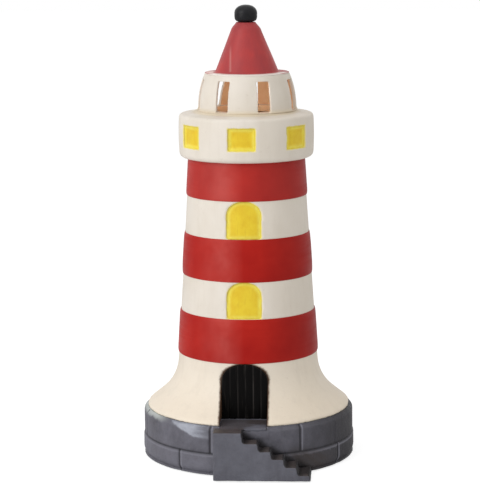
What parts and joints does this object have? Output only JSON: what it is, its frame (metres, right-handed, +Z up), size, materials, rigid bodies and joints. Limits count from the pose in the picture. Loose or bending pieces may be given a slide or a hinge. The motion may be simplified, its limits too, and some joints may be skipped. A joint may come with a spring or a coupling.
{
  "type": "lighthouse night light",
  "caption": "Lighthouse night light: banded tower on a stone base with stairs, slotted lantern room and cone roof; tower lifts off, bulb screws out",
  "frame": {"origin": "on the tower's axis, in the underside of the foam pad that the lamp stands on", "axes": "+Z up along the tower's axis, -Y towards the door and the stairs, +X towards the side that the stairs go down to"},
  "size_m": [0.148, 0.1588, 0.31],
  "materials": {
    "ball_black": "satin black",
    "roof_red": "satin painted red",
    "tower_white": "satin cream white",
    "band_red": "satin painted red",
    "pane_yellow": "translucent yellow",
    "door_black": "brushed black planks",
    "stone_grey": "satin painted stone",
    "stairs_grey": "satin painted stone",
    "plate_black": "fine moulded grain",
    "foam_grey": "closed-cell foam",
    "bush_rubber": "matt rubber",
    "zinc_steel": "zinc plated",
    "brass_parts": "turned brass",
    "contact_bronze": "sprung bronze strip",
    "holder_dark": "moulded thermoset",
    "insert_ceramic": "unglazed ceramic",
    "cap_metal": "nickel plated",
    "insulator_glass": "black glass",
    "bulb_clear": "clear glass",
    "stem_clear": "clear glass",
    "strip_amber": "amber coated",
    "block_white": "moulded polyamide",
    "lead_brown": "insulation",
    "lead_blue": "insulation"
  },
  "bodies": {
    "base": {"stone_base": "stone_grey", "stairs": "stairs_grey", "base_plate": "plate_black", "base_pad": "foam_grey", "base_screws": "zinc_steel", "cord_bush": "bush_rubber", "holder_bridge": "zinc_steel", "bridge_screws": "zinc_steel", "nipple": "brass_parts", "nipple_nut": "brass_parts", "holder_lower": "holder_dark", "holder_insert": "insert_ceramic", "screw_shell": "brass_parts", "holder_upper": "holder_dark", "terminal_block": "block_white", "terminal_screws": "brass_parts", "block_screw": "zinc_steel", "live_lead": "lead_brown", "neutral_lead": "lead_blue"},
    "tower": {"finial_ball": "ball_black", "roof": "roof_red", "lantern_room": "tower_white", "gallery": "tower_white", "gallery_pane_1": "pane_yellow", "gallery_pane_2": "pane_yellow", "gallery_pane_3": "pane_yellow", "gallery_pane_4": "pane_yellow", "gallery_pane_5": "pane_yellow", "gallery_pane_6": "pane_yellow", "gallery_pane_7": "pane_yellow", "band_upper": "band_red", "band_middle": "band_red", "band_lower": "band_red", "tower_shell": "tower_white", "window_upper": "pane_yellow", "window_lower": "pane_yellow", "door_leaf": "door_black"},
    "bulb_foot": {"bulb_eyelet": "cap_metal", "bulb_insulator": "insulator_glass"},
    "bulb": {"bulb_cap": "cap_metal", "bulb_glass": "bulb_clear", "bulb_stem": "stem_clear", "bulb_strips": "strip_amber"},
    "contact": {"centre_contact": "contact_bronze"}
  },
  "joints": [
    {"name": "tower_lift", "type": "slide", "parent": "base", "child": "tower", "axis": [0, 0, 1], "range_m": [0, 0.12]},
    {"name": "bulb_lift", "type": "slide", "parent": "base", "child": "bulb_foot", "axis": [0, 0, 1], "range_m": [0, 0.017]},
    {"name": "bulb_turn", "type": "hinge", "parent": "bulb_foot", "child": "bulb", "pos_m": [0, 0, 0.05], "axis": [0, 0, 1], "range_deg": [0, 2160]},
    {"name": "contact_press", "type": "slide", "parent": "base", "child": "contact", "axis": [0, 0, 1], "range_m": [-0.001, 0], "stiffness_N_per_m": 1500}
  ],
  "couplings": [
    {"joint": "bulb_lift", "follows": "bulb_turn", "m_per_rad": 0.00044913}
  ]
}
